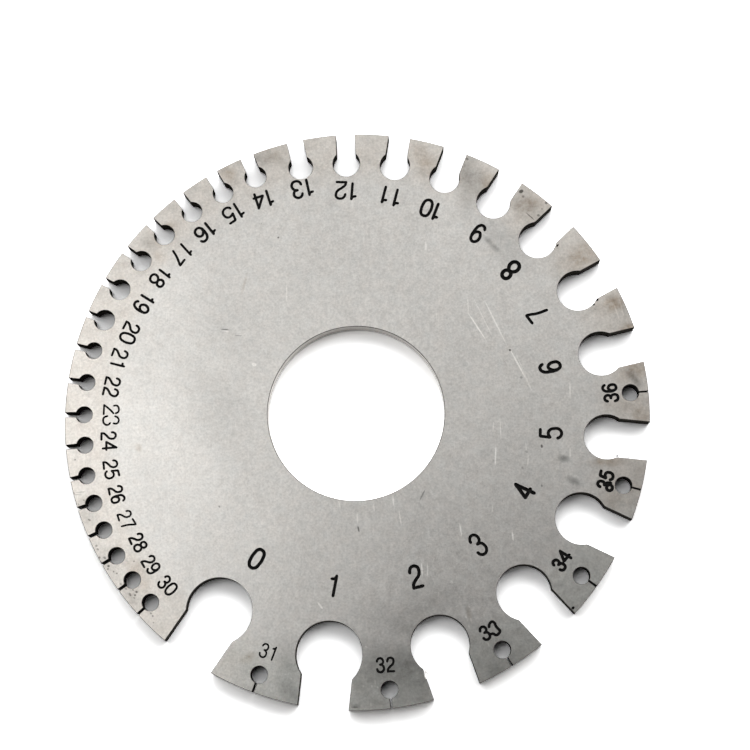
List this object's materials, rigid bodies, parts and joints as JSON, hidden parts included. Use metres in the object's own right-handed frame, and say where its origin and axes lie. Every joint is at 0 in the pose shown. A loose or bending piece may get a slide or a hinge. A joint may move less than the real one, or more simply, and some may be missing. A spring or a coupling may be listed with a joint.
{
  "type": "wire gauge plate",
  "caption": "Flat round steel gauge with a central hand hole and numbered keyhole slots round its rim, for telling sheet and wire thickness.",
  "frame": {"origin": "centre of the hand hole on the back face, which the gauge lies on", "axes": "+Z out of the numbered face along the hand hole, +X towards slots 5 and 36, +Y towards slot 12"},
  "size_m": [0.084, 0.084, 0.0024],
  "materials": {
    "steel": "satin, ground flat"
  },
  "bodies": {
    "root": {"gauge_plate": "steel"}
  },
  "joints": []
}
